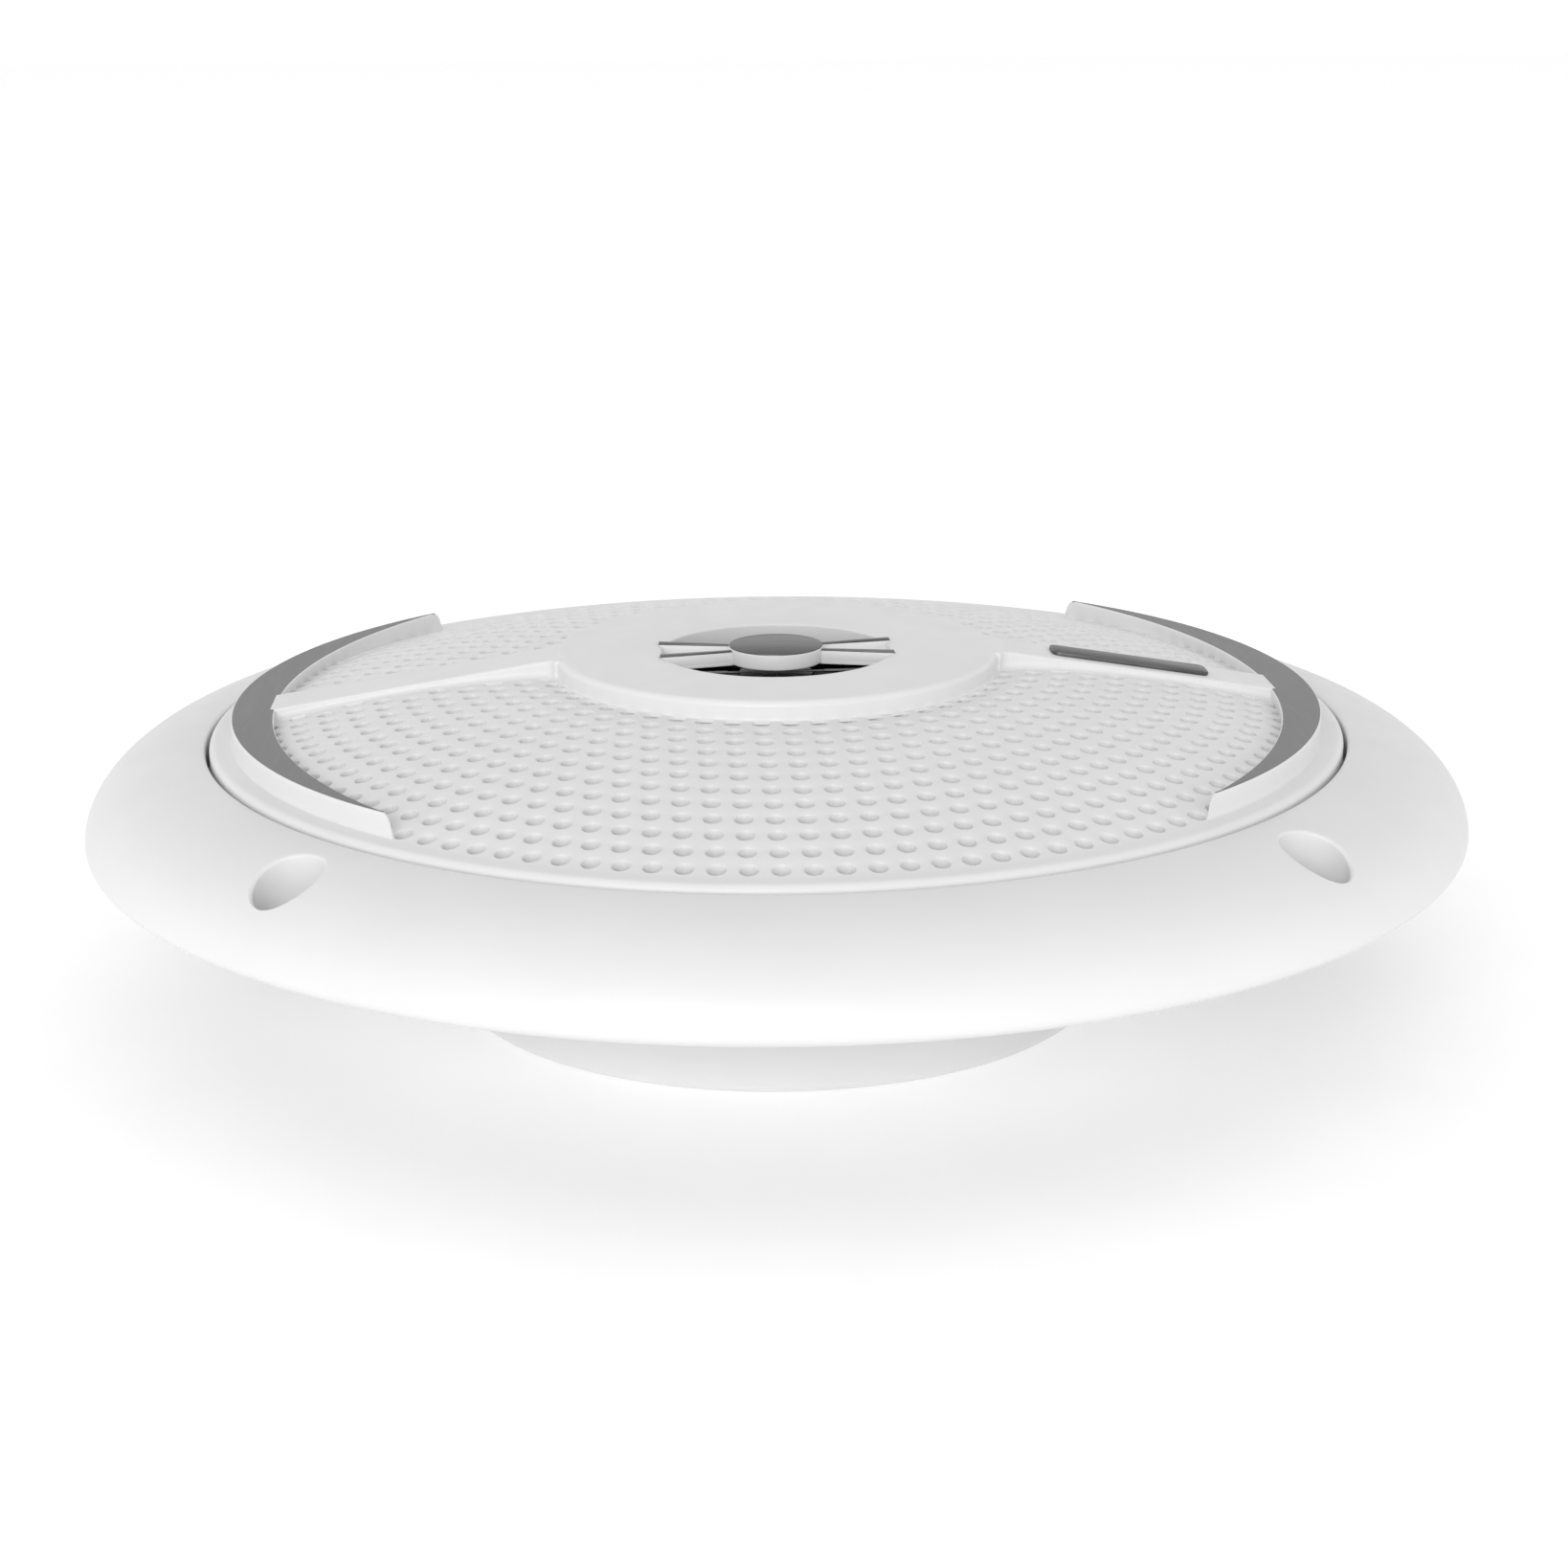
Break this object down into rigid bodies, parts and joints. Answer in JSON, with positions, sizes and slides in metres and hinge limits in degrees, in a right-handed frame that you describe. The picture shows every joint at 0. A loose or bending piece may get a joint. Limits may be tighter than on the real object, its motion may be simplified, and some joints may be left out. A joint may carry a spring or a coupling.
{
  "type": "flush-mount loudspeaker",
  "caption": "Shallow round flush-mount marine loudspeaker with a domed perforated grille, brushed crescent trims and a coaxial tweeter behind the hub.",
  "frame": {"origin": "middle of the rear cover's outer face, on the sound axis", "axes": "+Z along the sound axis out of the front; the grille's two ribs run along X"},
  "size_m": [0.1828, 0.1828, 0.0468],
  "materials": {
    "white": "satin moulded white ASA",
    "silver": "brushed",
    "steel": "zinc-plated, machined",
    "zinc": "bright plated",
    "ferrite": "sintered, dull",
    "copper": "enamelled wire",
    "brass": "tinned blade",
    "rubber": "matt",
    "foam": "closed-cell foam",
    "black": "satin moulded",
    "cone": "moulded polypropylene",
    "cloth": "resin-treated cloth",
    "kapton": "polyimide film",
    "silk": "coated silk"
  },
  "bodies": {
    "frame": {"bezel": "white", "basket": "white", "panel_gasket": "foam", "rear_cover": "white", "yoke": "steel", "magnet": "ferrite", "front_plate": "steel", "surround": "rubber", "surround_clamp": "black", "spider": "cloth", "terminal_block": "black", "terminal_blade_wide": "brass", "terminal_blade_narrow": "brass", "lead_post_left": "brass", "lead_post_right": "brass", "tinsel_lead_left": "copper", "tinsel_lead_right": "copper", "crossover_capacitor": "black", "tweeter_post": "steel", "post_screw": "zinc", "tweeter_cup": "black", "tweeter_pot": "steel", "tweeter_magnet": "zinc", "tweeter_pole_plate": "steel", "tweeter_seat": "black", "tweeter_face": "black", "basket_screw_1": "zinc", "basket_screw_2": "zinc", "basket_screw_3": "zinc", "basket_screw_4": "zinc"},
    "cone_group": {"cone": "cone", "coil_former": "kapton", "voice_coil": "copper"},
    "tweeter_diaphragm": {"tweeter_dome": "silk", "tweeter_coil": "copper"},
    "grille_group": {"grille": "white", "crescent_trim_right": "silver", "crescent_trim_left": "silver", "centre_trim": "silver", "badge_plate": "silver"}
  },
  "joints": [
    {"name": "cone_stroke", "type": "slide", "parent": "frame", "child": "cone_group", "axis": [0, 0, 1], "range_m": [-0.0025, 0.0025], "stiffness_N_per_m": 1500, "deforming": ["surround", "spider", "tinsel_lead_left", "tinsel_lead_right"]},
    {"name": "tweeter_stroke", "type": "slide", "parent": "frame", "child": "tweeter_diaphragm", "axis": [0, 0, 1], "range_m": [-0.0002, 0.0002], "stiffness_N_per_m": 1000},
    {"name": "grille_lift", "type": "slide", "parent": "frame", "child": "grille_group", "axis": [0, 0, 1], "range_m": [0, 0.035]}
  ]
}
